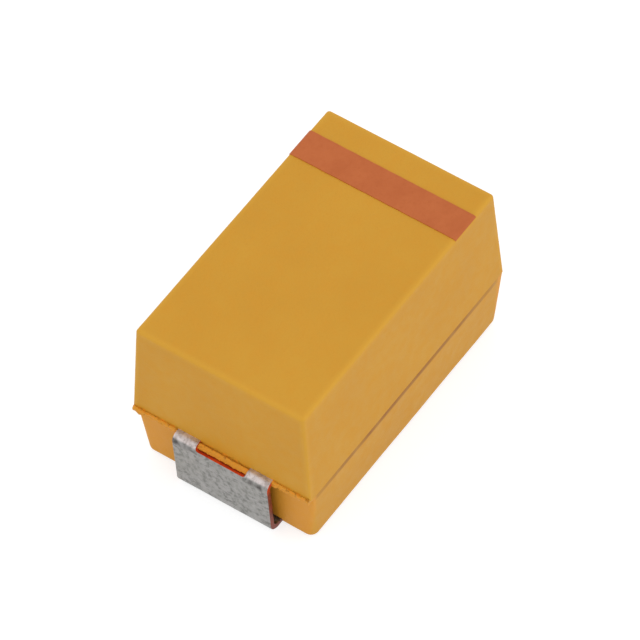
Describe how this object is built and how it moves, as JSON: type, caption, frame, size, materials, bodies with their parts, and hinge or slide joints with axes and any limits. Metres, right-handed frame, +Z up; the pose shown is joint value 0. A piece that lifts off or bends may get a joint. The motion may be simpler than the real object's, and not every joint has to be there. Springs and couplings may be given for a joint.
{
  "type": "tantalum capacitor",
  "caption": "Moulded tantalum chip capacitor with folded leads at each end and a polarity band across the top.",
  "frame": {"origin": "on the surface that the part stands on, in the middle of its footprint", "axes": "+X along the length towards the anode end, where the band is, +Y across the width, +Z up from the board"},
  "size_m": [0.0072, 0.0044, 0.0041],
  "materials": {
    "case_epoxy": "fine matte moulded epoxy, ochre yellow",
    "tin_plate": "satin tin plate over copper alloy, bare copper at the sheared edges",
    "band_ink": "matte printed ink, brick orange",
    "tantalum": "porous sintered tantalum, dark grey",
    "tantalum_wire": "drawn wire",
    "washer_ptfe": "waxy white",
    "carbon_paint": "dull black graphite paint",
    "silver_paint": "matte silver paint",
    "silver_glue": "matte silver-filled adhesive"
  },
  "bodies": {
    "root": {"case_moulding": "case_epoxy", "cathode_lead": "tin_plate", "anode_lead": "tin_plate", "polarity_band": "band_ink", "tantalum_pellet": "tantalum", "riser_wire": "tantalum_wire", "wire_washer": "washer_ptfe", "carbon_coat": "carbon_paint", "silver_coat": "silver_paint", "silver_adhesive": "silver_glue"}
  },
  "joints": []
}
